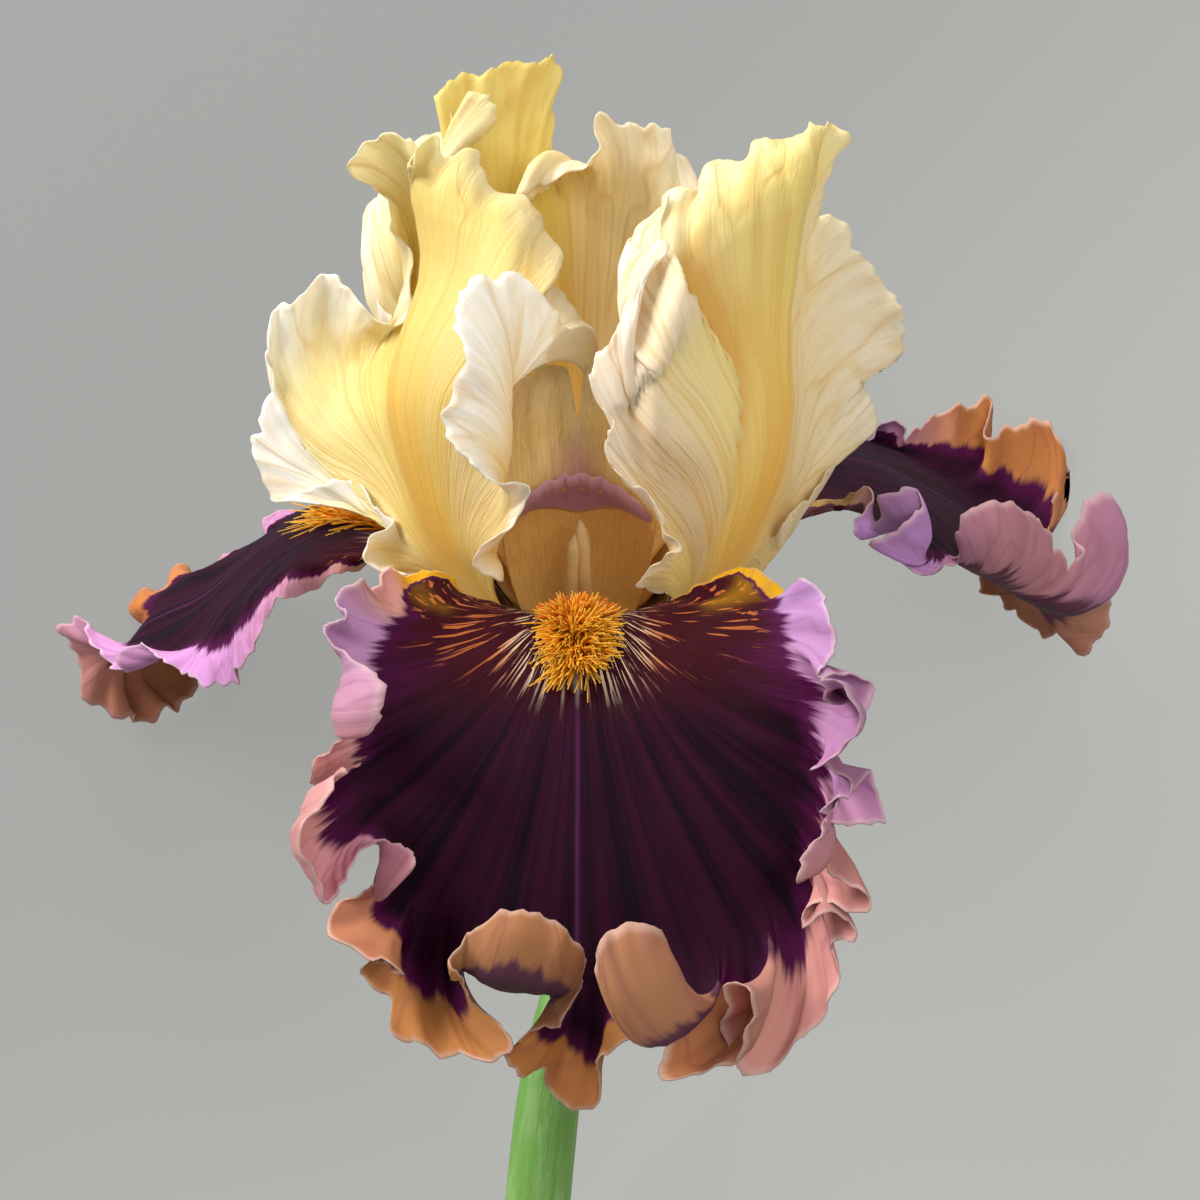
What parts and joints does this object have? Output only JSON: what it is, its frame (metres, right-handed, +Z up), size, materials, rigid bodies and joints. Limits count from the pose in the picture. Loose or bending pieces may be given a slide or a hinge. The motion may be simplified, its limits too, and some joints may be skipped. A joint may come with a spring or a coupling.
{
  "type": "bearded iris flower",
  "caption": "Cut bearded iris flower lying on its back: ruffled pale upright petals, velvety dark drooping petals with mauve rims, orange beards and a short green stem.",
  "frame": {"origin": "centre of the bounding box at the surface it lies on", "axes": "+Z up from the surface; +Y from the cut stem towards the tips of the upright petals; +X towards the right fall"},
  "size_m": [0.156, 0.178, 0.0975],
  "materials": {
    "fall": "velvety dark violet with burgundy hafts and ruffled mauve, salmon and orange-brown rims, soft sheen",
    "standard": "thin translucent cream with golden ochre veins and paler ruffled rims",
    "beard": "orange bristles with golden yellow tips",
    "style_arm": "satin mauve lips and golden tan crests",
    "stamen": "matte cream",
    "ovary": "smooth green, yellower near the petals",
    "stem": "smooth bright green with a pale cut end"
  },
  "bodies": {
    "root": {"fall_front": "fall", "fall_left": "fall", "fall_right": "fall", "standard_left": "standard", "standard_right": "standard", "standard_back": "standard", "beard_front": "beard", "beard_left": "beard", "beard_right": "beard", "style_front": "style_arm", "style_left": "style_arm", "style_right": "style_arm", "stamen_front": "stamen", "stamen_left": "stamen", "stamen_right": "stamen", "ovary_tube": "ovary", "stem": "stem"}
  },
  "joints": []
}
